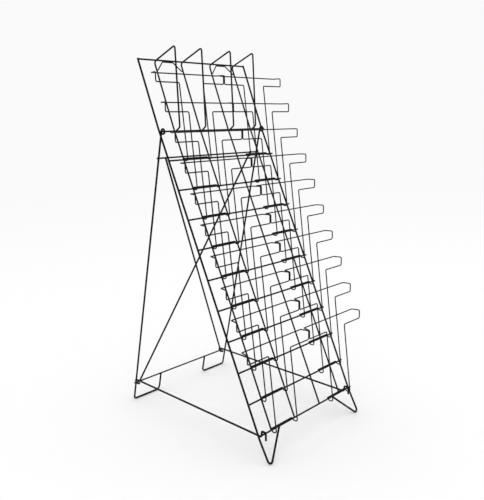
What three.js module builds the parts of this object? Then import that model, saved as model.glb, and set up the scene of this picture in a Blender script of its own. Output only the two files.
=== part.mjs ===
// Folding wire magazine rack: a sloping panel of ten tiers with two pockets each,
// propped up by a hinged rear leg frame and two hook-on braces.
// Millimetres. X runs along the rails, -Y is the customer side and Z points up.
// The finished rack stands on Z = 0 with the middle of its footprint at the origin.
import * as THREE from 'three';

// Wire diameters.
const FRAME_WIRE = 5.2;
const LEG_WIRE = 5.2;
const BRACE_WIRE = 5.2;
const DIAGONAL_WIRE = 5.2;
const RAIL_WIRE = 4.4;
const POCKET_WIRE = 3.2;

// Welded wires meet with this gap, which the weld bead bridges.
const WELD_GAP = 0.3;

// Sloping panel. "Up the slope" is measured from the front feet along the panel.
const PANEL_LEAN = THREE.MathUtils.degToRad(23.8);
const PANEL_LENGTH = 1049;
const HALF_WIDTH_TOP = 192.4;
const HALF_WIDTH_BOTTOM = 187;
const HINGE_RAIL_UP = 852;
const HEADER_BEND_UP = 862;
const HEADER_TILT = THREE.MathUtils.degToRad(2.5);
const SLIGHT_BEND = 40;
const TIERS = 10;
const TOP_TIER_UP = 773.6;
const TIER_PITCH = 78.6;
const BOTTOM_RAIL_UP = TOP_TIER_UP - (TIERS - 1) * TIER_PITCH;
const RAIL_OVERHANG = 1.6;
const RAIL_LIFT = (FRAME_WIRE + RAIL_WIRE) / 2 + WELD_GAP;

// Front feet: each side wire turns back up to the bottom rail in a V.
const FOOT_BEND = 8;
const FOOT_INCLUDED_ANGLE = THREE.MathUtils.degToRad(45);
const FOOT_KICK = 6;
const FOOT_KICK_DROP = 2.73;
const FOOT_KICK_BELOW_RAIL = 8;

// Slope wires, each carried on over the top rail into a forward fin.
const SLOPE_WIRE_XS = [-141.9, -52.4, 52.4, 141.9];
const SLOPE_WIRE_LIFT = RAIL_LIFT - RAIL_WIRE - WELD_GAP;
const SLOPE_WIRE_TAIL = 3;
const FIN_ROOT_BEND = 8;
const FIN_APEX_DROP = 3.5;
const FIN_APEX_LIFT = 90.7;
const FIN_APEX_BEND = 5;
const FIN_TOE_UP = 855;
const FIN_TOE_LIFT = 24;
const FIN_TOE_BEND = 5;

// Header gussets between the outer and inner slope wires, under the top rail.
const GUSSET_FOOT_UP = 1021;
const GUSSET_SIDE_RUN = 27;
const GUSSET_BEND = 3;

// Pocket loops, set out from the centre of their tier rail.
const PANEL_SHIFT = -8.4;
const HEAD_WIDTH = 227.8;
const HEAD_PITCH = 231.4;
const HEAD_HEIGHT = 190.4;
const HEAD_SET_BACK = 4;
const HEAD_LIP = 22.9;
const HEAD_DEPTH = 22.6;
const HEAD_BACK_TAPER = 5;
const STEM_SPACING = 80.6;
const SEAT_REACH = 17.8;
const SEAT_DROP = 1.8;
const RUN_BACK = 1.2;
const RUN_RISE = 3.95;
const HOOK_GAP = 0.5;
const HOOK_CLEAR = (RAIL_WIRE + POCKET_WIRE) / 2 + HOOK_GAP;
const LOOP_BUTT_GAP = 0.8;
const RUN_END_BEND = 1.9;
const OVER_RAIL_BEND = 2.2;
const SEAT_REAR_BEND = 2.9;
const SEAT_FRONT_BEND = 6;
const STEM_TOP_BEND = 4;
const HEAD_CORNER_BEND = 4;
const LIP_BEND = 3.5;
const RIM_CORNER_BEND = 3;

// Rear leg frame, hung on the hinge rail by eyelets.
const REAR_FOOT_BACK = 533.7;
const LEG_X = 184.2;
const EYELET_CLEARANCE = 1.3;
const EYELET_WRAP = THREE.MathUtils.degToRad(280);
const REAR_FOOT_BEND = 7;
const REAR_FOOT_RISER_X = 90.5;
const REAR_FOOT_RISER_BEND = 12;
const REAR_FOOT_RISER_TOP = 55;
const UPPER_RAIL_HEIGHT = 713;
const LOWER_RAIL_HEIGHT = 50.6;
const REAR_RAIL_HALF = 185.6;
const FRONT_DIAGONAL_XS = [-161, 165];
const BACK_DIAGONAL_XS = [169.5, -160.5];
const DIAGONAL_TAIL = 3;

// Braces from the lower rear rail to a hook over the bottom rail.
const BRACE_X = 173;
const BRACE_EYE_CLEARANCE = 0.5;
const BRACE_EYE_BACK = 5.5;
const BRACE_EYE_FRONT = 5;
const BRACE_EYE_END_RUN = 3;
const BRACE_EYE_END_DROP = 0.9;
const BRACE_EYE_END_BEND = 2.8;
const BRACE_EYE_FLAT = 0.1;
const HOOK_SWEEP_MARGIN = 0.1;
const HOOK_TIP_DROP = 15;
const HOOK_FRONT_CLEARANCE = 1;
const HOOK_TOP_BEND = 4.5;
const HOOK_RAMP_FOOT = 43;
const HOOK_RAMP_BEND = 14;

// Facets of the wire sections and of their bends.
const THIN_SIDES = 6;
const THICK_SIDES = 8;
const THIN_BEND_STEP = THREE.MathUtils.degToRad(50);
const THICK_BEND_STEP = THREE.MathUtils.degToRad(36);
const TIGHT_BEND = 3.8;

const SATIN_BLACK = { color: 0x121212, roughness: 0.42, metalness: 0.35 };

// A wire's centre line, given as stations with a point and a direction each.
// The curve parameter counts stations, so an extrusion puts one section on each.
class WirePath extends THREE.Curve {
  constructor(stations) {
    super();
    this.stations = stations;
  }

  station(u) {
    return this.stations[Math.round(u * (this.stations.length - 1))];
  }

  getPointAt(u, target = new THREE.Vector3()) {
    return target.copy(this.station(u).point);
  }

  getTangentAt(u, target = new THREE.Vector3()) {
    return target.copy(this.station(u).direction);
  }
}

// Stations round one bend, between two straight runs that would meet at a corner.
// A tight bend is a single facet.
function bendStations(corner, inward, outward, radius, stepAngle) {
  const turn = inward.angleTo(outward);
  const setBack = radius * Math.tan(turn / 2);
  const start = corner.clone().addScaledVector(inward, -setBack);
  const side = outward.clone().addScaledVector(inward, -outward.dot(inward)).normalize();
  const centre = start.clone().addScaledVector(side, radius);
  const steps = radius < TIGHT_BEND ? 1 : Math.ceil(turn / stepAngle);
  const stations = [];
  for (let step = 0; step <= steps; step += 1) {
    const angle = (turn * step) / steps;
    const point = centre.clone().addScaledVector(side, -radius * Math.cos(angle));
    point.addScaledVector(inward, radius * Math.sin(angle));
    const direction = inward.clone().multiplyScalar(Math.cos(angle));
    direction.addScaledVector(side, Math.sin(angle)).normalize();
    stations.push({ point, direction });
  }
  return stations;
}

// Corners are [point, bend radius] pairs; the two ends have no radius.
function bentPath(corners, stepAngle) {
  const points = corners.map(([point]) => point);
  const heading = (i) => points[i + 1].clone().sub(points[i]).normalize();
  const last = points.length - 1;
  const stations = [{ point: points[0], direction: heading(0) }];
  for (let i = 1; i < last; i += 1) {
    stations.push(...bendStations(points[i], heading(i - 1), heading(i), corners[i][1], stepAngle));
  }
  stations.push({ point: points[last], direction: heading(last - 1) });
  return stations;
}

function section(diameter, sides, phase) {
  const corners = [];
  for (let side = 0; side < sides; side += 1) {
    const angle = phase + (side * 2 * Math.PI) / sides;
    corners.push(new THREE.Vector2(Math.cos(angle), Math.sin(angle)).multiplyScalar(diameter / 2));
  }
  return new THREE.Shape(corners);
}

function wire(name, stations, diameter, sides, phase = 0) {
  const geometry = new THREE.ExtrudeGeometry(section(diameter, sides, phase), {
    extrudePath: new WirePath(stations),
    steps: stations.length - 1,
    bevelEnabled: false,
  });
  const mesh = new THREE.Mesh(geometry, new THREE.MeshStandardMaterial(SATIN_BLACK));
  mesh.name = name;
  return mesh;
}

function thinWire(name, corners, diameter) {
  return wire(name, bentPath(corners, THIN_BEND_STEP), diameter, THIN_SIDES);
}

function thickWire(name, corners, diameter) {
  return wire(name, bentPath(corners, THICK_BEND_STEP), diameter, THICK_SIDES);
}

// A point on the panel: across, up the slope, and lifted off it towards the front.
// The header, above the hinge rail, is tilted a little forward from the rest.
function onPanel(x, up, lift) {
  const proud = lift + Math.max(up - HEADER_BEND_UP, 0) * Math.tan(HEADER_TILT);
  const y = up * Math.sin(PANEL_LEAN) - proud * Math.cos(PANEL_LEAN);
  const z = up * Math.cos(PANEL_LEAN) + proud * Math.sin(PANEL_LEAN);
  return new THREE.Vector3(x, y, z);
}

function halfWidth(up) {
  return THREE.MathUtils.lerp(HALF_WIDTH_BOTTOM, HALF_WIDTH_TOP, up / PANEL_LENGTH);
}

// A side wire, from the inner end of its V foot to its tip. The foot is kicked a little
// forward below the bottom rail.
function sideWire(name, side) {
  const vertexDrop = FOOT_BEND * (1 / Math.tan(FOOT_INCLUDED_ANGLE / 2) - 1);
  const innerX = (up) => HALF_WIDTH_BOTTOM - (up + vertexDrop) * Math.tan(FOOT_INCLUDED_ANGLE);
  const innerTop = BOTTOM_RAIL_UP + RAIL_WIRE / 2;
  const kickUp = BOTTOM_RAIL_UP - FOOT_KICK_BELOW_RAIL;
  const corners = [
    [onPanel(side * innerX(innerTop), innerTop, 0)],
    [onPanel(side * innerX(kickUp), kickUp, 0), SLIGHT_BEND],
    [onPanel(side * HALF_WIDTH_BOTTOM, -vertexDrop - FOOT_KICK_DROP, FOOT_KICK), FOOT_BEND],
    [onPanel(side * halfWidth(kickUp), kickUp, 0), SLIGHT_BEND],
    [onPanel(side * halfWidth(HEADER_BEND_UP), HEADER_BEND_UP, 0), SLIGHT_BEND],
    [onPanel(side * HALF_WIDTH_TOP, PANEL_LENGTH + RAIL_WIRE / 2, 0)],
  ];
  return thickWire(name, corners, FRAME_WIRE);
}

// The top rail butts between the tips of the side wires.
function topRail() {
  const end = HALF_WIDTH_TOP - FRAME_WIRE / 2 - WELD_GAP;
  const corners = [[onPanel(-end, PANEL_LENGTH, 0)], [onPanel(end, PANEL_LENGTH, 0)]];
  return thinWire('top_rail', corners, RAIL_WIRE);
}

function panelRail(name, up) {
  const end = halfWidth(up) + FRAME_WIRE / 2 + RAIL_OVERHANG;
  const corners = [[onPanel(-end, up, RAIL_LIFT)], [onPanel(end, up, RAIL_LIFT)]];
  return thinWire(name, corners, RAIL_WIRE);
}

function slopeWire(name, x) {
  const rootUp = PANEL_LENGTH - RAIL_WIRE - WELD_GAP;
  const apexUp = rootUp - FIN_APEX_DROP;
  const toeEndLift = RAIL_LIFT + RAIL_WIRE / 2 + WELD_GAP;
  const corners = [
    [onPanel(x, BOTTOM_RAIL_UP - SLOPE_WIRE_TAIL, SLOPE_WIRE_LIFT)],
    [onPanel(x, HEADER_BEND_UP, SLOPE_WIRE_LIFT), SLIGHT_BEND],
    [onPanel(x, rootUp, SLOPE_WIRE_LIFT), FIN_ROOT_BEND],
    [onPanel(x, apexUp, FIN_APEX_LIFT), FIN_APEX_BEND],
    [onPanel(x, FIN_TOE_UP, FIN_TOE_LIFT), FIN_TOE_BEND],
    [onPanel(x, HINGE_RAIL_UP, toeEndLift)],
  ];
  return thinWire(name, corners, RAIL_WIRE);
}

function headerGusset(name, leftX, rightX) {
  const topUp = PANEL_LENGTH - (RAIL_WIRE + POCKET_WIRE) / 2 - WELD_GAP;
  const endInset = (RAIL_WIRE + POCKET_WIRE) / 2 + WELD_GAP;
  const corners = [
    [onPanel(leftX + endInset, GUSSET_FOOT_UP, 0)],
    [onPanel(leftX + GUSSET_SIDE_RUN, topUp, 0), GUSSET_BEND],
    [onPanel(rightX - GUSSET_SIDE_RUN, topUp, 0), GUSSET_BEND],
    [onPanel(rightX - endInset, GUSSET_FOOT_UP, 0)],
  ];
  return thinWire(name, corners, POCKET_WIRE);
}

// One T-shaped pocket, bent from a single wire that closes on its tier rail: a run on top of
// the rail, two hooked seats, two stems, and a head whose rim returns behind as a back bar.
function pocket(name, headX, railCentre) {
  const at = (x, back, rise) => new THREE.Vector3(headX + x, railCentre.y + back, railCentre.z + rise);
  const stemX = STEM_SPACING / 2;
  const dropX = HEAD_WIDTH / 2;
  const barX = dropX - HEAD_BACK_TAPER;
  const rimRise = HEAD_HEIGHT + HEAD_LIP;
  const right = [
    [at(LOOP_BUTT_GAP / 2, RUN_BACK, RUN_RISE)],
    [at(stemX, RUN_BACK, RUN_RISE), RUN_END_BEND],
    [at(stemX, -HOOK_CLEAR, RUN_RISE), OVER_RAIL_BEND],
    [at(stemX, -HOOK_CLEAR, -SEAT_DROP), SEAT_REAR_BEND],
    [at(stemX, -SEAT_REACH, -SEAT_DROP), SEAT_FRONT_BEND],
    [at(stemX, HEAD_SET_BACK, HEAD_HEIGHT), STEM_TOP_BEND],
    [at(dropX, HEAD_SET_BACK, HEAD_HEIGHT), HEAD_CORNER_BEND],
    [at(dropX, HEAD_SET_BACK, rimRise), LIP_BEND],
    [at(barX, HEAD_SET_BACK + HEAD_DEPTH, rimRise), RIM_CORNER_BEND],
  ];
  const left = right.map(([point, bend]) => [point.clone().setX(2 * headX - point.x), bend]);
  return thinWire(name, [...right, ...left.reverse()], POCKET_WIRE);
}

// Hinge axis and the plane of the rear legs, as seen from the side.
const hinge = onPanel(0, HINGE_RAIL_UP, RAIL_LIFT);
const eyeletRadius = RAIL_WIRE / 2 + EYELET_CLEARANCE + LEG_WIRE / 2;
const footToHinge = new THREE.Vector2(hinge.y - REAR_FOOT_BACK, hinge.z);
const legTangentTurn = Math.asin(eyeletRadius / footToHinge.length());
const legLean = Math.atan2(-footToHinge.x, footToHinge.y) - legTangentTurn;
const legUp = new THREE.Vector3(0, -Math.sin(legLean), Math.cos(legLean));
const legBack = new THREE.Vector3(0, Math.cos(legLean), Math.sin(legLean));

// A point on the leg plane at a height, set back from it by a distance.
function onLegs(x, height, back) {
  const point = new THREE.Vector3(x, REAR_FOOT_BACK, 0);
  point.addScaledVector(legUp, height / legUp.z);
  return point.addScaledVector(legBack, back);
}

function rearLeg(name, side) {
  const x = side * LEG_X;
  const eyelet = [];
  const steps = Math.ceil(EYELET_WRAP / THICK_BEND_STEP);
  for (let step = 0; step <= steps; step += 1) {
    const angle = EYELET_WRAP * (1 - step / steps);
    const point = new THREE.Vector3(x, hinge.y, hinge.z);
    point.addScaledVector(legBack, eyeletRadius * Math.cos(angle));
    point.addScaledVector(legUp, eyeletRadius * Math.sin(angle));
    const direction = legBack.clone().multiplyScalar(Math.sin(angle));
    direction.addScaledVector(legUp, -Math.cos(angle)).normalize();
    eyelet.push({ point, direction });
  }
  const riserX = side * REAR_FOOT_RISER_X;
  const foot = bentPath(
    [
      [eyelet[steps].point],
      [onLegs(x, 0, 0), REAR_FOOT_BEND],
      [onLegs(riserX, 0, 0), REAR_FOOT_RISER_BEND],
      [onLegs(riserX, REAR_FOOT_RISER_TOP, 0)],
    ],
    THICK_BEND_STEP,
  );
  // The section is turned so that one facet of the floor run lies flat on the floor.
  const phase = Math.PI / THICK_SIDES + side * legLean;
  return wire(name, [...eyelet, ...foot.slice(1)], LEG_WIRE, THICK_SIDES, phase);
}

const REAR_RAIL_BACK = (LEG_WIRE + RAIL_WIRE) / 2 + WELD_GAP;

function rearRail(name, height) {
  const left = onLegs(-REAR_RAIL_HALF, height, REAR_RAIL_BACK);
  const right = onLegs(REAR_RAIL_HALF, height, REAR_RAIL_BACK);
  return thinWire(name, [[left], [right]], RAIL_WIRE);
}

function rearDiagonal(name, [topX, bottomX], back) {
  const top = onLegs(topX, UPPER_RAIL_HEIGHT, back);
  const bottom = onLegs(bottomX, LOWER_RAIL_HEIGHT, back);
  const tail = bottom.clone().sub(top).setLength(DIAGONAL_TAIL);
  return thinWire(name, [[top.sub(tail)], [bottom.add(tail)]], DIAGONAL_WIRE);
}

// A brace: a closed eye round the lower rear rail, a long run forward, a ramp that lets the
// bottom rail pass under it as the legs fold, and a hook down the front of that rail.
function brace(name, x) {
  const eye = onLegs(x, LOWER_RAIL_HEIGHT, REAR_RAIL_BACK);
  const rail = onPanel(x, BOTTOM_RAIL_UP, RAIL_LIFT);
  const eyeRise = (RAIL_WIRE + BRACE_WIRE) / 2 + BRACE_EYE_CLEARANCE;
  const railClear = (RAIL_WIRE + BRACE_WIRE) / 2 + WELD_GAP;
  const sweep = Math.hypot(hinge.y - rail.y, hinge.z - rail.z) - railClear - HOOK_SWEEP_MARGIN;
  const clearHeight = (y) => hinge.z - Math.sqrt(sweep ** 2 - (hinge.y - y) ** 2);
  const rampFootY = rail.y + HOOK_RAMP_FOOT;
  const rampFoot = new THREE.Vector3(x, rampFootY, clearHeight(rampFootY));
  const rampTop = new THREE.Vector3(x, rail.y, clearHeight(rail.y));
  const tipY = rail.y - railClear - HOOK_FRONT_CLEARANCE;
  const rampSlope = (rampTop.z - rampFoot.z) / HOOK_RAMP_FOOT;
  const hookTop = new THREE.Vector3(x, tipY, rampTop.z + rampSlope * (rail.y - tipY));
  const eyeBackY = eye.y + BRACE_EYE_BACK + eyeRise;
  const eyeFrontY = eye.y - BRACE_EYE_FRONT;
  const eyeBend = eyeRise - BRACE_EYE_FLAT;
  const corners = [
    [new THREE.Vector3(x, eyeFrontY - BRACE_EYE_END_RUN, eye.z - BRACE_EYE_END_DROP)],
    [new THREE.Vector3(x, eyeFrontY, eye.z - eyeRise), BRACE_EYE_END_BEND],
    [new THREE.Vector3(x, eyeBackY, eye.z - eyeRise), eyeBend],
    [new THREE.Vector3(x, eyeBackY, eye.z + eyeRise), eyeBend],
    [rampFoot, HOOK_RAMP_BEND],
    [hookTop, HOOK_TOP_BEND],
    [new THREE.Vector3(x, tipY, rail.z - HOOK_TIP_DROP)],
  ];
  return thickWire(name, corners, BRACE_WIRE);
}

function tierUp(tier) {
  return TOP_TIER_UP - (tier - 1) * TIER_PITCH;
}

const panelWires = new THREE.Group();
panelWires.add(sideWire('side_wire_left', -1));
panelWires.add(sideWire('side_wire_right', 1));
panelWires.add(topRail());
panelWires.add(panelRail('hinge_rail', HINGE_RAIL_UP));
SLOPE_WIRE_XS.forEach((x, i) => panelWires.add(slopeWire(`slope_wire_${i + 1}`, x)));
panelWires.add(headerGusset('header_gusset_left', SLOPE_WIRE_XS[0], SLOPE_WIRE_XS[1]));
panelWires.add(headerGusset('header_gusset_right', SLOPE_WIRE_XS[2], SLOPE_WIRE_XS[3]));

const pockets = new THREE.Group();
for (let tier = 1; tier <= TIERS; tier += 1) {
  const number = String(tier).padStart(2, '0');
  panelWires.add(panelRail(`tier_rail_${number}`, tierUp(tier)));
  const railCentre = onPanel(0, tierUp(tier), RAIL_LIFT);
  pockets.add(pocket(`pocket_left_${number}`, -HEAD_PITCH / 2, railCentre));
  pockets.add(pocket(`pocket_right_${number}`, HEAD_PITCH / 2, railCentre));
}

const diagonalStep = (RAIL_WIRE + DIAGONAL_WIRE) / 2 + WELD_GAP;
const rearFrame = new THREE.Group();
rearFrame.add(rearLeg('rear_leg_left', -1));
rearFrame.add(rearLeg('rear_leg_right', 1));
rearFrame.add(rearRail('rear_upper_rail', UPPER_RAIL_HEIGHT));
rearFrame.add(rearRail('rear_lower_rail', LOWER_RAIL_HEIGHT));
rearFrame.add(rearDiagonal('rear_diagonal_front', FRONT_DIAGONAL_XS, REAR_RAIL_BACK - diagonalStep));
rearFrame.add(rearDiagonal('rear_diagonal_back', BACK_DIAGONAL_XS, REAR_RAIL_BACK + diagonalStep));

const braces = new THREE.Group();
braces.add(brace('brace_left', -BRACE_X));
braces.add(brace('brace_right', BRACE_X));

// The pockets are centred on X = 0; everything else sits a little to the left of them.
const frameSide = new THREE.Group();
frameSide.add(panelWires, rearFrame, braces);
frameSide.position.x = PANEL_SHIFT;

const rack = new THREE.Group();
rack.add(frameSide, pockets);
const bounds = new THREE.Box3().setFromObject(rack, true);
const middle = bounds.getCenter(new THREE.Vector3());
rack.position.set(-middle.x, -middle.y, -bounds.min.z);

export default rack;
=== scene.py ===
from collections import namedtuple
import math

import bmesh
import bpy
from mathutils import Matrix, Vector, noise


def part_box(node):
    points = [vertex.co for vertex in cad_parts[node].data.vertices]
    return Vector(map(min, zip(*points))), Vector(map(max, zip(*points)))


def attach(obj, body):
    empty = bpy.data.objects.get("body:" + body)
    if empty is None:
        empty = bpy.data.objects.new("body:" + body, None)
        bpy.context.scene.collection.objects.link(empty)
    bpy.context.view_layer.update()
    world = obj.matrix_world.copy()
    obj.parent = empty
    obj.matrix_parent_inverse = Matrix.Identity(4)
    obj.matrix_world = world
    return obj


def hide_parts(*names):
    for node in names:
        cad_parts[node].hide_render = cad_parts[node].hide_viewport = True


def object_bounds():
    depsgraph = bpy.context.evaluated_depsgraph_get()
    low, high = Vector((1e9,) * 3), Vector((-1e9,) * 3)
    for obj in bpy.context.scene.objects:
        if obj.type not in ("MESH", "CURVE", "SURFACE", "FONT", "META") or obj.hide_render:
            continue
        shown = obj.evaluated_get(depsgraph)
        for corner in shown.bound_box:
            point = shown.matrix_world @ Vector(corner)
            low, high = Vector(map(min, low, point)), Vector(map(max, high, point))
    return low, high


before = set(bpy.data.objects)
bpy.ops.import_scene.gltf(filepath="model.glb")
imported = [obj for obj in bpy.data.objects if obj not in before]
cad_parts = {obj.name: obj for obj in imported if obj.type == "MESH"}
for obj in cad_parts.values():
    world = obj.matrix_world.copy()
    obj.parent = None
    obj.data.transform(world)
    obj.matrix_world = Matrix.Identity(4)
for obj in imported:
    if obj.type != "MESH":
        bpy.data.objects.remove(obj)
CAD_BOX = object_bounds()
MM = 0.001

# ------------------------------------------------------------------ dimensions
# Millimetres, and the CAD part's own except where a comment says so. "Up" is measured along
# the panel from its front feet, and "lift" from the plane of the panel towards the front.
FRAME_WIRE = 5.2
LEG_WIRE = 5.2
BRACE_WIRE = 5.2
DIAGONAL_WIRE = 5.2
RAIL_WIRE = 4.4
POCKET_WIRE = 3.2
# Wires that are welded stop this short of each other, and a bead fills the gap.
WELD_GAP = 0.3

PANEL_LEAN = math.radians(23.8)
PANEL_LENGTH = 1049.0
HALF_WIDTH_TOP = 192.4
HALF_WIDTH_BOTTOM = 187.0
HINGE_UP = 852.0
HEADER_BEND_UP = 862.0
HEADER_TILT = math.radians(2.5)
SLIGHT_BEND = 40.0
TIERS = 10
TOP_TIER_UP = 773.6
TIER_PITCH = 78.6
BOTTOM_UP = TOP_TIER_UP - (TIERS - 1) * TIER_PITCH
RAIL_OVERHANG = 1.6
RAIL_LIFT = (FRAME_WIRE + RAIL_WIRE) / 2 + WELD_GAP

# Each front foot is a 45 degree V, kicked a little forward from just below the bottom rail.
FOOT_ANGLE = math.radians(45)
FOOT_BEND = 8.0
FOOT_VERTEX_DROP = FOOT_BEND * (1 / math.tan(FOOT_ANGLE / 2) - 1)
FOOT_KICK = 6.0
FOOT_KICK_DROP = 2.73
FOOT_KICK_UP = BOTTOM_UP - 8.0

SLOPE_WIRE_XS = (-141.9, -52.4, 52.4, 141.9)
SLOPE_WIRE_LIFT = RAIL_LIFT - RAIL_WIRE - WELD_GAP
SLOPE_WIRE_TAIL = 3.0
FIN_ROOT_UP = PANEL_LENGTH - RAIL_WIRE - WELD_GAP
FIN_ROOT_BEND = 8.0
# 0.6 more than the CAD's, which keeps the rounder bend within the CAD's height.
FIN_APEX_DROP = 4.1
FIN_APEX_LIFT = 90.7
FIN_TOE_UP = 855.0
FIN_TOE_LIFT = 24.0
FIN_BEND = 5.0

GUSSET_FOOT_UP = 1021.0
GUSSET_TOP_UP = PANEL_LENGTH - (RAIL_WIRE + POCKET_WIRE) / 2 - WELD_GAP
GUSSET_INSET = (RAIL_WIRE + POCKET_WIRE) / 2 + WELD_GAP
GUSSET_SIDE_RUN = 27.0
GUSSET_BEND = 3.0

STEM_SPACING = 80.6
STEM_X = STEM_SPACING / 2
HEAD_WIDTH = 227.8
HEAD_X = HEAD_WIDTH / 2
HEAD_RISE = 190.4
HEAD_BACK = 4.0
HEAD_LIP = 22.9
HEAD_DEPTH = 22.6
RIM_TAPER = 5.0
RIM_X = HEAD_X - RIM_TAPER
RIM_RISE = HEAD_RISE + HEAD_LIP
RIM_BACK = HEAD_BACK + HEAD_DEPTH
SEAT_REACH = 17.8
SEAT_DROP = 1.8
HOOK_GAP = 0.5
HOOK_CLEAR = (RAIL_WIRE + POCKET_WIRE) / 2 + HOOK_GAP
RUN_BACK = 1.2
# 0.55 less than the CAD's, so that the run touches its rail as a weld does.
RUN_RISE = 3.4
# A quarter of the CAD's, because the bead here closes it.
BUTT_GAP = 0.2
# The right half of a pocket's wire as (x, back, rise, bend), from the centre of its tier rail.
POCKET_HALF = (
    (STEM_X, RUN_BACK, RUN_RISE, 1.9),
    (STEM_X, -HOOK_CLEAR, RUN_RISE, 2.2),
    (STEM_X, -HOOK_CLEAR, -SEAT_DROP, 2.9),
    (STEM_X, -SEAT_REACH, -SEAT_DROP, 6.0),
    (STEM_X, HEAD_BACK, HEAD_RISE, 4.0),
    (HEAD_X, HEAD_BACK, HEAD_RISE, 4.0),
    (HEAD_X, HEAD_BACK, RIM_RISE, 3.5),
    (RIM_X, RIM_BACK, RIM_RISE, 3.0),
)

LEG_X = 184.2
EYELET_CLEARANCE = 1.3
EYELET_RADIUS = RAIL_WIRE / 2 + EYELET_CLEARANCE + LEG_WIRE / 2
EYELET_WRAP = math.radians(280)
EYELET_STEPS = 30
REAR_FOOT_BACK = 533.7
REAR_FOOT_BEND = 7.0
RISER_X = 90.5
RISER_BEND = 12.0
RISER_TOP = 55.0
UPPER_RAIL_HEIGHT = 713.0
LOWER_RAIL_HEIGHT = 50.6
REAR_RAIL_HALF = 185.6
REAR_RAIL_BACK = (LEG_WIRE + RAIL_WIRE) / 2 + WELD_GAP
# The crossing stays as (top x, bottom x). One passes in front of the rear rails, one behind.
FRONT_DIAGONAL_XS = (-161.0, 165.0)
BACK_DIAGONAL_XS = (169.5, -160.5)
DIAGONAL_STEP = (RAIL_WIRE + DIAGONAL_WIRE) / 2 + WELD_GAP
DIAGONAL_TAIL = 3.0

BRACE_X = 173.0
EYE_CLEARANCE = 0.5
EYE_RISE = (RAIL_WIRE + BRACE_WIRE) / 2 + EYE_CLEARANCE
EYE_BACK = 5.5 + EYE_RISE
EYE_BEND = EYE_RISE - 0.1
# A brace's corners as (back, rise, bend): its eye from the centre of the lower rear rail, and
# its hook from the centre of the bottom rail. The hook is as short as the photo's. The CAD's
# has a ramp behind it instead, for the rail to swing under as the legs fold.
BRACE_EYE = (
    (-8.0, -0.9, 0.0),
    (-5.0, -EYE_RISE, 2.8),
    (EYE_BACK, -EYE_RISE, EYE_BEND),
    (EYE_BACK, EYE_RISE, EYE_BEND),
)
BRACE_HOOK = (
    (8.9, -9.8, 3.6),
    (6.5, 5.4, 3.0),
    (-6.0, 5.4, 3.1),
    (-6.1, -15.0, 0.0),
)

# How finely a wire is drawn.
BEND_STEP = math.radians(11)
LONGEST_RUN = 28.0
THIN_SIDES = 12
THICK_SIDES = 16
# A sheared end as (distance from the end, radius), both as shares of the wire's radius.
SHEARED_END = ((0.0, 0.80), (0.088, 0.95), (0.22, 1.0))
# Drawn wire is true to size. The coat on it varies by this share of the radius, in waves of
# this many to the millimetre, and a seed for each wire keeps them from being alike.
COAT_UNEVENNESS = 0.012
COAT_WAVES = 0.05
SEED_STEP = 3.7
LEG_SEED = 9.1

# Wires of one body are welded where straight runs of theirs pass within WELD_REACH of each
# other, surface to surface, and no other weld lies within WELD_SPACING.
WELD_REACH = 1.1
WELD_SPACING = 3.5
SHORTEST_RUN = 6.0
# How far past the end of a run a tack may still lie.
END_SLACK = 1.0
# A wire whose end stands this close to another's surface is butt welded to it.
BUTT_REACH = 1.0
# Two runs lie side by side, or are parallel, below these values of their angle's squared sine.
SIDE_BY_SIDE = 0.02
PARALLEL = 1e-6
TACK_SHARES = (0.22, 0.80)
# Half measures of a bead across the gap, along the wire and sideways. The first two rows are
# shares of the thinner wire's radius, and the last is in millimetres.
CROSSING_BEAD = (0.85, 1.18, 0.98)
BUTT_COLLAR = (1.05, 1.16, 1.16)
POCKET_BUTT_BEAD = (1.65, 1.7, 1.62)
BEAD_ROWS = 7
BEAD_COLUMNS = 12
BEAD_LUMPS = 0.16
BEAD_WAVES = 1.7
BEAD_SEED_STEP = 1.31
BUTT_SEED_STEP = 2.17

# Both sides of the rack, with the sign of their x.
SIDES = (("left", -1), ("right", 1))


# ------------------------------------------------------------------ set-out
def centre(node):
    low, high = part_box(node)
    return (low + high) / 2 / MM


def slope_point(x, up, lift):
    """A point on the panel, whose header is tilted a little forward above the hinge rail."""
    lift += max(up - HEADER_BEND_UP, 0) * math.tan(HEADER_TILT)
    sine = math.sin(PANEL_LEAN)
    cosine = math.cos(PANEL_LEAN)
    return Vector((x, up * sine - lift * cosine, up * cosine + lift * sine))


# The CAD's hinge rail fixes where the whole set-out lies in the row frame.
ORIGIN = centre("hinge_rail") - slope_point(0, HINGE_UP, RAIL_LIFT)


def on_panel(x, up, lift=0.0):
    return slope_point(x, up, lift) + ORIGIN


# The rear legs run down from the backs of their eyelets, so their plane is tangent to those.
HINGE = on_panel(0, HINGE_UP, RAIL_LIFT)
REAR_FOOT = Vector((HINGE.x, ORIGIN.y + REAR_FOOT_BACK, ORIGIN.z))
FOOT_TO_HINGE = Vector((HINGE.y - REAR_FOOT.y, HINGE.z - REAR_FOOT.z))
TANGENT_TURN = math.asin(EYELET_RADIUS / FOOT_TO_HINGE.length)
LEG_LEAN = math.atan2(-FOOT_TO_HINGE.x, FOOT_TO_HINGE.y) - TANGENT_TURN
LEG_UP = Vector((0, -math.sin(LEG_LEAN), math.cos(LEG_LEAN)))
LEG_BACK = Vector((0, math.cos(LEG_LEAN), math.sin(LEG_LEAN)))


def on_legs(x, height, back=0.0):
    """A point on the plane of the rear legs, or behind it."""
    return REAR_FOOT + Vector((x, 0, 0)) + LEG_UP * (height / LEG_UP.z) + LEG_BACK * back


def half_width(up):
    return HALF_WIDTH_BOTTOM + (HALF_WIDTH_TOP - HALF_WIDTH_BOTTOM) * up / PANEL_LENGTH


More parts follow.
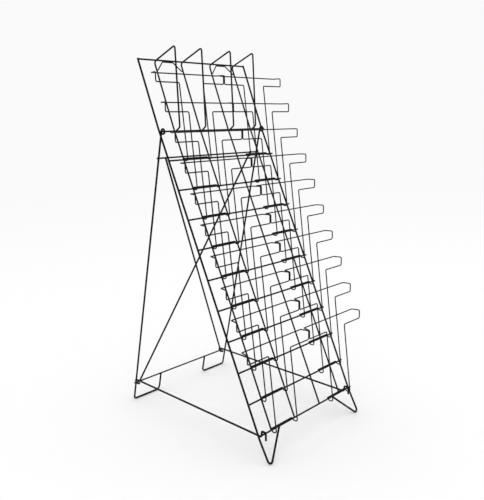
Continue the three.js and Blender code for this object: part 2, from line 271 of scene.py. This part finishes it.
# ------------------------------------------------------------------ wires
def rounded(corners):
    """The centre line through (point, bend radius) corners. The two ends don't bend."""
    line = [corners[0][0]]
    for (before, _), (point, radius), (after, _) in zip(corners, corners[1:], corners[2:]):
        inward = (point - before).normalized()
        outward = (after - point).normalized()
        turn = inward.angle(outward)
        side = (outward - inward * inward.dot(outward)).normalized()
        start = point - inward * radius * math.tan(turn / 2)
        hub = start + side * radius
        steps = max(2, math.ceil(turn / BEND_STEP))
        for step in range(steps + 1):
            angle = turn * step / steps
            line.append(hub - side * radius * math.cos(angle) + inward * radius * math.sin(angle))
    line.append(corners[-1][0])
    return line


def divided(line):
    """The same line with its long straight runs cut up."""
    parts = [line[0]]
    for start, end in zip(line, line[1:]):
        count = max(1, math.ceil((end - start).length / LONGEST_RUN))
        parts += [start.lerp(end, k / count) for k in range(1, count + 1)]
    return parts


def ring(bm, middle, tangent, normal, radius, sides):
    across = tangent.cross(normal)
    corners = []
    for side in range(sides):
        angle = 2 * math.pi * side / sides
        spoke = (normal * math.cos(angle) + across * math.sin(angle)) * radius
        corners.append(bm.verts.new((middle + spoke) * MM))
    return corners


def tube(bm, line, radius, sides, seed):
    """A round wire along the line, with sheared ends that are rounded over a little."""
    line = divided(line)
    last = len(line) - 1
    normal = (line[1] - line[0]).normalized().orthogonal().normalized()
    rings = []
    for i, point in enumerate(line):
        tangent = (line[min(i + 1, last)] - line[max(i - 1, 0)]).normalized()
        normal = (normal - tangent * normal.dot(tangent)).normalized()
        if i == 0:
            for inset, share in SHEARED_END:
                at = point + tangent * radius * inset
                rings.append(ring(bm, at, tangent, normal, radius * share, sides))
        elif i == last:
            for inset, share in reversed(SHEARED_END):
                at = point - tangent * radius * inset
                rings.append(ring(bm, at, tangent, normal, radius * share, sides))
        else:
            wave = noise.noise(point * COAT_WAVES + Vector((seed, 0, 0)))
            coated = radius * (1 + COAT_UNEVENNESS * wave)
            rings.append(ring(bm, point, tangent, normal, coated, sides))
    for low, high in zip(rings, rings[1:]):
        for side in range(sides):
            following = (side + 1) % sides
            bm.faces.new((low[side], low[following], high[following], high[side]))
    bm.faces.new(list(reversed(rings[0])))
    bm.faces.new(rings[-1])


class Wire:
    """What the search for welds has to know of a wire."""

    def __init__(self, node, body, line, radius):
        self.node = node
        self.body = body
        self.line = line
        self.radius = radius
        self.runs = [(a, b) for a, b in zip(line, line[1:]) if (b - a).length > SHORTEST_RUN]
        self.low = Vector([min(point[i] for point in line) for i in range(3)])
        self.high = Vector([max(point[i] for point in line) for i in range(3)])


WIRES = []


def wire_along(node, body, slot, line, diameter, seed):
    """A wire in place of a CAD node, riding on a body."""
    WIRES.append(Wire(node, body, line, diameter / 2))
    bm = bmesh.new()
    sides = THIN_SIDES if diameter == POCKET_WIRE else THICK_SIDES
    tube(bm, line, diameter / 2, sides, seed)
    add_piece(node + "_wire", bm, body, slot, node)


def wire(node, body, slot, corners, diameter):
    """A wire bent through (point, bend radius) corners."""
    seed = (len(WIRES) + 1) * SEED_STEP
    wire_along(node, body, slot, rounded(corners), diameter, seed)


def add_piece(name, bm, body, slot, *nodes):
    """A smooth piece that rides on a body and shows in place of any CAD nodes given."""
    bmesh.ops.recalc_face_normals(bm, faces=bm.faces)
    mesh = bpy.data.meshes.new(name)
    bm.to_mesh(mesh)
    bm.free()
    for polygon in mesh.polygons:
        polygon.use_smooth = True
    mesh.materials.append(COATS[slot])
    piece = bpy.data.objects.new(name, mesh)
    bpy.context.scene.collection.objects.link(piece)
    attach(piece, body)
    if nodes:
        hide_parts(*nodes)


# ------------------------------------------------------------------ materials
BLACK = (0.0025, 0.0025, 0.0027)
DUST = (0.23, 0.225, 0.215)
BARE_WIRE = (0.20, 0.195, 0.19)


def powder_coat(name, roughness, peel_scale, dust, wear):
    """Satin black powder coat: orange peel, patchy gloss, dust on top and rubbed spots."""
    material = bpy.data.materials.new(name)
    material.use_nodes = True
    nodes = material.node_tree.nodes
    links = material.node_tree.links
    shader = nodes["Principled BSDF"]
    shader.inputs["Specular IOR Level"].default_value = 0.1
    shader.inputs["Coat Weight"].default_value = 0.0
    coordinates = nodes.new("ShaderNodeTexCoord")

    def noise_at(scale, detail, grain=0.55):
        texture = nodes.new("ShaderNodeTexNoise")
        texture.inputs["Scale"].default_value = scale
        texture.inputs["Detail"].default_value = detail
        texture.inputs["Roughness"].default_value = grain
        links.new(coordinates.outputs["Object"], texture.inputs["Vector"])
        return texture.outputs["Fac"]

    def ramp(value, given, wanted):
        mapped = nodes.new("ShaderNodeMapRange")
        mapped.inputs["From Min"].default_value = given[0]
        mapped.inputs["From Max"].default_value = given[1]
        mapped.inputs["To Min"].default_value = wanted[0]
        mapped.inputs["To Max"].default_value = wanted[1]
        links.new(value, mapped.inputs["Value"])
        return mapped.outputs["Result"]

    def mix(factor, first, second):
        mixed = nodes.new("ShaderNodeMix")
        mixed.data_type = "RGBA"
        links.new(factor, mixed.inputs["Factor"])
        for socket, value in ((mixed.inputs["A"], first), (mixed.inputs["B"], second)):
            if isinstance(value, tuple):
                socket.default_value = (*value, 1)
            else:
                links.new(value, socket)
        return mixed.outputs["Result"]

    def times(value, factor):
        product = nodes.new("ShaderNodeMath")
        product.operation = "MULTIPLY"
        links.new(value, product.inputs[0])
        if isinstance(factor, float):
            product.inputs[1].default_value = factor
        else:
            links.new(factor, product.inputs[1])
        return product.outputs[0]

    def relief(height, strength, distance):
        bump = nodes.new("ShaderNodeBump")
        bump.inputs["Strength"].default_value = strength
        bump.inputs["Distance"].default_value = distance
        links.new(height, bump.inputs["Height"])
        return bump

    # Colour: a faint cloudy variation, then dust where the wire faces up, then rub marks.
    darker = tuple(channel * 0.72 for channel in BLACK)
    lighter = tuple(channel * 1.25 for channel in BLACK)
    colour = mix(ramp(noise_at(38.0, 3.0), (0.35, 0.65), (0.0, 1.0)), darker, lighter)
    geometry = nodes.new("ShaderNodeNewGeometry")
    split = nodes.new("ShaderNodeSeparateXYZ")
    links.new(geometry.outputs["Normal"], split.inputs["Vector"])
    upward = ramp(split.outputs["Z"], (0.45, 1.0), (0.0, dust))
    speckle = ramp(noise_at(620.0, 4.0, 0.7), (0.47, 0.66), (0.15, 1.0))
    colour = mix(times(upward, speckle), colour, DUST)
    rubbed = ramp(noise_at(95.0, 6.0, 0.75), (0.70 - wear, 0.735 - wear), (0.0, 1.0))
    colour = mix(times(rubbed, 0.55), colour, BARE_WIRE)
    links.new(colour, shader.inputs["Base Color"])

    # Gloss: patchy, with fine grain.
    patches = ramp(noise_at(70.0, 5.0), (0.3, 0.7), (roughness - 0.07, roughness + 0.08))
    grain = ramp(noise_at(2200.0, 2.0), (0.3, 0.7), (0.93, 1.07))
    links.new(times(patches, grain), shader.inputs["Roughness"])

    # Relief: orange peel over a slow unevenness in the coat.
    peel = relief(noise_at(peel_scale, 2.0, 0.5), 0.22, 0.00012)
    slow = relief(noise_at(190.0, 2.0), 0.3, 0.0002)
    links.new(peel.outputs["Normal"], slow.inputs["Normal"])
    links.new(slow.outputs["Normal"], shader.inputs["Normal"])
    return material


COATS = {
    "panel_coat": powder_coat("panel_coat", roughness=0.38, peel_scale=1300.0, dust=0.06, wear=0.0),
    "pocket_coat": powder_coat("pocket_coat", roughness=0.34, peel_scale=1500.0, dust=0.05, wear=0.0),
    "rear_coat": powder_coat("rear_coat", roughness=0.38, peel_scale=1300.0, dust=0.06, wear=0.012),
}


# ------------------------------------------------------------------ panel
def side_wire(side, sign):
    """From the inner end of the V foot, round its vertex and up to the tip."""
    inner_up = BOTTOM_UP + RAIL_WIRE / 2
    tip_up = PANEL_LENGTH + RAIL_WIRE / 2
    vertex = on_panel(sign * HALF_WIDTH_BOTTOM, -FOOT_VERTEX_DROP - FOOT_KICK_DROP, FOOT_KICK)

    def inner(up):
        return on_panel(sign * (HALF_WIDTH_BOTTOM - up - FOOT_VERTEX_DROP), up)

    def outer(up):
        return on_panel(sign * half_width(up), up)

    corners = [
        (inner(inner_up), 0.0),
        (inner(FOOT_KICK_UP), SLIGHT_BEND),
        (vertex, FOOT_BEND),
        (outer(FOOT_KICK_UP), SLIGHT_BEND),
        (outer(HEADER_BEND_UP), SLIGHT_BEND),
        (on_panel(sign * HALF_WIDTH_TOP, tip_up), 0.0),
    ]
    wire(f"side_wire_{side}", "panel", "panel_coat", corners, FRAME_WIRE)


def top_rail():
    """The top rail butts between the tips of the side wires."""
    reach = HALF_WIDTH_TOP - FRAME_WIRE / 2 - WELD_GAP
    ends = [(on_panel(-reach, PANEL_LENGTH), 0.0), (on_panel(reach, PANEL_LENGTH), 0.0)]
    wire("top_rail", "panel", "panel_coat", ends, RAIL_WIRE)


def panel_rail(node, up):
    reach = half_width(up) + FRAME_WIRE / 2 + RAIL_OVERHANG
    ends = [(on_panel(-reach, up, RAIL_LIFT), 0.0), (on_panel(reach, up, RAIL_LIFT), 0.0)]
    wire(node, "panel", "panel_coat", ends, RAIL_WIRE)


def slope_wire(number, x):
    """Up the panel and over the top rail, then forward and down again as a fin."""
    toe_end_lift = RAIL_LIFT + RAIL_WIRE / 2 + WELD_GAP
    corners = [
        (on_panel(x, BOTTOM_UP - SLOPE_WIRE_TAIL, SLOPE_WIRE_LIFT), 0.0),
        (on_panel(x, HEADER_BEND_UP, SLOPE_WIRE_LIFT), SLIGHT_BEND),
        (on_panel(x, FIN_ROOT_UP, SLOPE_WIRE_LIFT), FIN_ROOT_BEND),
        (on_panel(x, FIN_ROOT_UP - FIN_APEX_DROP, FIN_APEX_LIFT), FIN_BEND),
        (on_panel(x, FIN_TOE_UP, FIN_TOE_LIFT), FIN_BEND),
        (on_panel(x, HINGE_UP, toe_end_lift), 0.0),
    ]
    wire(f"slope_wire_{number}", "panel", "panel_coat", corners, RAIL_WIRE)


def header_gusset(side, left_x, right_x):
    corners = [
        (on_panel(left_x + GUSSET_INSET, GUSSET_FOOT_UP), 0.0),
        (on_panel(left_x + GUSSET_SIDE_RUN, GUSSET_TOP_UP), GUSSET_BEND),
        (on_panel(right_x - GUSSET_SIDE_RUN, GUSSET_TOP_UP), GUSSET_BEND),
        (on_panel(right_x - GUSSET_INSET, GUSSET_FOOT_UP), 0.0),
    ]
    wire(f"header_gusset_{side}", "panel", "panel_coat", corners, POCKET_WIRE)


def pocket(side, tier):
    """One T-shaped pocket. Returns the point where its wire closes on itself."""
    node = f"pocket_{side}_{tier:02d}"
    rail = centre(f"tier_rail_{tier:02d}")
    middle_x = centre(node).x

    def at(x, back, rise):
        return Vector((middle_x + x, rail.y + back, rail.z + rise))

    corners = [(at(BUTT_GAP / 2, RUN_BACK, RUN_RISE), 0.0)]
    corners += [(at(x, back, rise), bend) for x, back, rise, bend in POCKET_HALF]
    corners += [(at(-x, back, rise), bend) for x, back, rise, bend in reversed(POCKET_HALF)]
    corners += [(at(-BUTT_GAP / 2, RUN_BACK, RUN_RISE), 0.0)]
    wire(node, "panel", "pocket_coat", corners, POCKET_WIRE)
    return at(0, RUN_BACK, RUN_RISE)


for side, sign in SIDES:
    side_wire(side, sign)
top_rail()
panel_rail("hinge_rail", HINGE_UP)
for tier in range(1, TIERS + 1):
    panel_rail(f"tier_rail_{tier:02d}", TOP_TIER_UP - (tier - 1) * TIER_PITCH)
for number, x in enumerate(SLOPE_WIRE_XS, 1):
    slope_wire(number, x)
header_gusset("left", SLOPE_WIRE_XS[0], SLOPE_WIRE_XS[1])
header_gusset("right", SLOPE_WIRE_XS[2], SLOPE_WIRE_XS[3])
POCKET_BUTTS = [pocket(side, tier) for tier in range(1, TIERS + 1) for side, _ in SIDES]


# ------------------------------------------------------------------ rear legs
def rear_leg(side, sign):
    """An eyelet round the hinge rail, a leg, and a U foot up to the lower rear rail."""
    x = sign * LEG_X
    eyelet = []
    for step in range(EYELET_STEPS + 1):
        angle = EYELET_WRAP * (1 - step / EYELET_STEPS)
        eyelet.append(
            HINGE + Vector((x, 0, 0))
            + LEG_BACK * EYELET_RADIUS * math.cos(angle)
            + LEG_UP * EYELET_RADIUS * math.sin(angle)
        )
    foot = rounded([
        (eyelet[-1], 0.0),
        (on_legs(x, 0), REAR_FOOT_BEND),
        (on_legs(sign * RISER_X, 0), RISER_BEND),
        (on_legs(sign * RISER_X, RISER_TOP), 0.0),
    ])
    line = eyelet + foot[1:]
    wire_along(f"rear_leg_{side}", "rear_frame", "rear_coat", line, LEG_WIRE, sign * LEG_SEED)


def rear_rail(node, height):
    left = on_legs(-REAR_RAIL_HALF, height, REAR_RAIL_BACK)
    right = on_legs(REAR_RAIL_HALF, height, REAR_RAIL_BACK)
    wire(node, "rear_frame", "rear_coat", [(left, 0.0), (right, 0.0)], RAIL_WIRE)


def rear_diagonal(node, xs, back):
    top = on_legs(xs[0], UPPER_RAIL_HEIGHT, back)
    low = on_legs(xs[1], LOWER_RAIL_HEIGHT, back)
    tail = (low - top).normalized() * DIAGONAL_TAIL
    wire(node, "rear_frame", "rear_coat", [(top - tail, 0.0), (low + tail, 0.0)], DIAGONAL_WIRE)


for side, sign in SIDES:
    rear_leg(side, sign)
rear_rail("rear_upper_rail", UPPER_RAIL_HEIGHT)
rear_rail("rear_lower_rail", LOWER_RAIL_HEIGHT)
rear_diagonal("rear_diagonal_front", FRONT_DIAGONAL_XS, REAR_RAIL_BACK - DIAGONAL_STEP)
rear_diagonal("rear_diagonal_back", BACK_DIAGONAL_XS, REAR_RAIL_BACK + DIAGONAL_STEP)


# ------------------------------------------------------------------ braces
def brace(side, sign):
    """An eye round the lower rear rail, a long run forward and a hook over the bottom rail."""
    rear_rail_centre = on_legs(sign * BRACE_X, LOWER_RAIL_HEIGHT, REAR_RAIL_BACK)
    bottom_rail_centre = on_panel(sign * BRACE_X, BOTTOM_UP, RAIL_LIFT)

    def from_centre(rail, shape):
        return [(rail + Vector((0, back, rise)), bend) for back, rise, bend in shape]

    corners = from_centre(rear_rail_centre, BRACE_EYE)
    corners += from_centre(bottom_rail_centre, BRACE_HOOK)
    wire(f"brace_{side}", f"brace_{side}", "rear_coat", corners, BRACE_WIRE)


for side, sign in SIDES:
    brace(side, sign)


# ------------------------------------------------------------------ welds
def clamped(share):
    return min(max(share, 0), 1)


def nearest(start, end, other_start, other_end):
    """Closest points of two runs, and whether they lie side by side."""
    run = end - start
    other_run = other_end - other_start
    between = start - other_start
    run_squared = run.dot(run)
    other_squared = other_run.dot(other_run)
    shared = run.dot(other_run)
    run_between = run.dot(between)
    other_between = other_run.dot(between)
    crossing = run_squared * other_squared - shared * shared
    share = 0.5
    if crossing > PARALLEL * run_squared * other_squared:
        share = clamped((shared * other_between - run_between * other_squared) / crossing)
    other_share = clamped((shared * share + other_between) / other_squared)
    share = clamped((shared * other_share - run_between) / run_squared)
    side_by_side = crossing < SIDE_BY_SIDE * run_squared * other_squared
    return start + run * share, other_start + other_run * other_share, side_by_side


def tacks(run, other, reach):
    """Runs that lie side by side are tacked at two spots, each about a fifth of the way in."""
    run_length = (run[1] - run[0]).length
    other_length = (other[1] - other[0]).length
    short, long = (run, other) if run_length < other_length else (other, run)
    long_run = long[1] - long[0]
    axis = long_run.normalized()
    meetings = []
    for share in TACK_SHARES:
        point = short[0].lerp(short[1], share)
        along = (point - long[0]).dot(axis)
        facing = long[0] + axis * along
        if (point - facing).length < reach and -END_SLACK < along < long_run.length + END_SLACK:
            meetings.append((point, facing, axis, axis))
    return meetings


def meetings_of(first, second, reach):
    """Where two wires meet: a point on each centre line, and each wire's direction there."""
    meetings = []
    for a, b in first.runs:
        for c, d in second.runs:
            p, q, side_by_side = nearest(a, b, c, d)
            if side_by_side:
                meetings += tacks((a, b), (c, d), reach)
            elif (p - q).length < reach:
                meetings.append((p, q, (b - a).normalized(), (d - c).normalized()))
    return meetings


def apart(first, second, reach):
    """Whether the boxes round two wires are further apart than the reach."""
    return any(
        first.low[i] > second.high[i] + reach or second.low[i] > first.high[i] + reach
        for i in range(3)
    )


Weld = namedtuple("Weld", "middle across along first second distance")


def find_welds():
    """Every weld on the rack, with the distance between the two centre lines."""
    found = []
    for i, first in enumerate(WIRES):
        for second in WIRES[i + 1:]:
            if first.body != second.body:
                continue
            radii = first.radius + second.radius
            reach = radii + WELD_REACH
            if apart(first, second, reach):
                continue
            for p, q, along_first, along_second in meetings_of(first, second, reach):
                middle = (p * second.radius + q * first.radius) / radii
                across = (q - p).normalized()
                along = along_first if first.radius <= second.radius else along_second
                if all((middle - weld.middle).length > WELD_SPACING for weld in found):
                    found.append(Weld(middle, across, along, first, second, (q - p).length))
    return found


def bead(bm, middle, across, along, size, seed):
    """A small squeezed-out weld: flattened between the wires, drawn along them, uneven."""
    sideways = across.cross(along).normalized()
    along = sideways.cross(across).normalized()
    depth, length, width = size
    top = bm.verts.new(middle * MM + across * depth * MM)
    end = bm.verts.new(middle * MM - across * depth * MM)
    rings = []
    for row in range(1, BEAD_ROWS):
        tilt = math.pi * row / BEAD_ROWS
        corners = []
        for column in range(BEAD_COLUMNS):
            turn = 2 * math.pi * column / BEAD_COLUMNS
            outward = (
                along * math.sin(tilt) * math.cos(turn)
                + sideways * math.sin(tilt) * math.sin(turn)
                + across * math.cos(tilt)
            )
            wave = noise.noise(outward * BEAD_WAVES + Vector((seed, seed * 0.3, 0)))
            lump = 1 + BEAD_LUMPS * wave
            flat = along * length * math.cos(turn) + sideways * width * math.sin(turn)
            point = across * depth * math.cos(tilt) + flat * math.sin(tilt) * lump
            corners.append(bm.verts.new((middle + point) * MM))
        rings.append(corners)
    for column in range(BEAD_COLUMNS):
        following = (column + 1) % BEAD_COLUMNS
        bm.faces.new((top, rings[0][column], rings[0][following]))
        bm.faces.new((end, rings[-1][following], rings[-1][column]))
        for low, high in zip(rings, rings[1:]):
            bm.faces.new((low[column], high[column], high[following], low[following]))


def weld_bead(bm, weld, seed):
    """The bead between two wires, or the collar round the wire's end at a butt weld."""
    thin = min(weld.first.radius, weld.second.radius)
    thick = max(weld.first.radius, weld.second.radius)
    middle = weld.middle
    depth, length, width = [thin * share for share in CROSSING_BEAD]
    size = (weld.distance - weld.first.radius - weld.second.radius + depth, length, width)
    if weld.distance < thick + BUTT_REACH:
        ends = [end for w in (weld.first, weld.second) for end in (w.line[0], w.line[-1])]
        middle = min(ends, key=lambda end: (end - weld.middle).length)
        size = [thin * share for share in BUTT_COLLAR]
    bead(bm, middle, weld.across, weld.along, size, seed)


def weld_group(weld):
    if weld.first.body == "rear_frame":
        return "rear"
    return "pocket" if "pocket" in weld.first.node + weld.second.node else "panel"


BEADS = {"panel": bmesh.new(), "pocket": bmesh.new(), "rear": bmesh.new()}
for number, weld in enumerate(find_welds()):
    weld_bead(BEADS[weld_group(weld)], weld, number * BEAD_SEED_STEP)
for number, butt in enumerate(POCKET_BUTTS):
    upward = Vector((0, 0, 1))
    rightward = Vector((1, 0, 0))
    bead(BEADS["pocket"], butt, upward, rightward, POCKET_BUTT_BEAD, number * BUTT_SEED_STEP)
add_piece("panel_welds", BEADS["panel"], "panel", "panel_coat")
add_piece("pocket_welds", BEADS["pocket"], "panel", "pocket_coat")
add_piece("rear_frame_welds", BEADS["rear"], "rear_frame", "rear_coat")


# ------------------------------------------------------------------ studio
WHITE = (1, 1, 1, 1)
FLOOR_RADIUS = 30.0
FLOOR_GAP = 0.0003
BACKGROUND_STRENGTH = 0.955


def add_floor():
    material = bpy.data.materials.new("studio_floor")
    material.use_nodes = True
    shader = material.node_tree.nodes["Principled BSDF"]
    shader.inputs["Base Color"].default_value = WHITE
    shader.inputs["Roughness"].default_value = 1.0
    shader.inputs["Specular IOR Level"].default_value = 0.0
    mesh = bpy.data.meshes.new("studio_floor")
    bm = bmesh.new()
    bmesh.ops.create_circle(bm, cap_ends=True, segments=96, radius=FLOOR_RADIUS)
    bm.to_mesh(mesh)
    bm.free()
    mesh.materials.append(material)
    floor = bpy.data.objects.new("studio_floor", mesh)
    floor.location = (0, 0, CAD_BOX[0].z - FLOOR_GAP)
    bpy.context.scene.collection.objects.link(floor)


def add_background():
    world = bpy.data.worlds.new("studio")
    bpy.context.scene.world = world
    world.use_nodes = True
    background = world.node_tree.nodes["Background"]
    background.inputs["Color"].default_value = WHITE
    background.inputs["Strength"].default_value = BACKGROUND_STRENGTH
    # Standard keeps the white white and the black black, as in a catalogue picture.
    bpy.context.scene.view_settings.view_transform = "Standard"


def add_softbox(name, place, target, side, watts):
    light = bpy.data.lights.new(name, "AREA")
    light.shape = "RECTANGLE"
    light.size = side
    light.size_y = side
    light.energy = watts
    softbox = bpy.data.objects.new(name, light)
    softbox.location = place
    aim = Vector(target) - Vector(place)
    softbox.rotation_euler = aim.to_track_quat("-Z", "Y").to_euler()
    bpy.context.scene.collection.objects.link(softbox)


add_floor()
add_background()
add_softbox("key_light", (-2.2, -1.6, 2.6), (0, 0, 0.5), 1.6, 5.6)
add_softbox("fill_light", (2.4, -2.0, 1.8), (0, 0, 0.5), 1.8, 2.8)
add_softbox("top_light", (0.2, 0.6, 3.2), (0, 0, 0.4), 2.4, 3.6)

# ------------------------------------------------------------------ camera
# Fitted to the photo. The camera stands to the left of the front and looks a little down.
CAMERA_PLACE = Vector((-1.1774, -1.1533, 0.7962))
CAMERA_YAW = math.radians(45.774)
CAMERA_PITCH = math.radians(-11.603)
CAMERA_ROLL = math.radians(-1.274)
SENSOR_WIDTH = 36.0
FOCAL_LENGTH = 43.874


def add_camera():
    look = Vector((
        math.sin(CAMERA_YAW) * math.cos(CAMERA_PITCH),
        math.cos(CAMERA_YAW) * math.cos(CAMERA_PITCH),
        math.sin(CAMERA_PITCH),
    ))
    level = Vector((math.cos(CAMERA_YAW), -math.sin(CAMERA_YAW), 0))
    rise = level.cross(look)
    right = level * math.cos(CAMERA_ROLL) + rise * math.sin(CAMERA_ROLL)
    up = rise * math.cos(CAMERA_ROLL) - level * math.sin(CAMERA_ROLL)
    turn = Matrix((right, up, -look)).transposed().to_4x4()
    lens = bpy.data.cameras.new("camera")
    lens.sensor_width = SENSOR_WIDTH
    lens.lens = FOCAL_LENGTH
    lens.clip_start = 0.05
    lens.clip_end = 100
    camera = bpy.data.objects.new("camera", lens)
    camera.matrix_world = Matrix.Translation(CAMERA_PLACE) @ turn
    bpy.context.scene.collection.objects.link(camera)
    bpy.context.scene.camera = camera


add_camera()
bpy.context.view_layer.update()
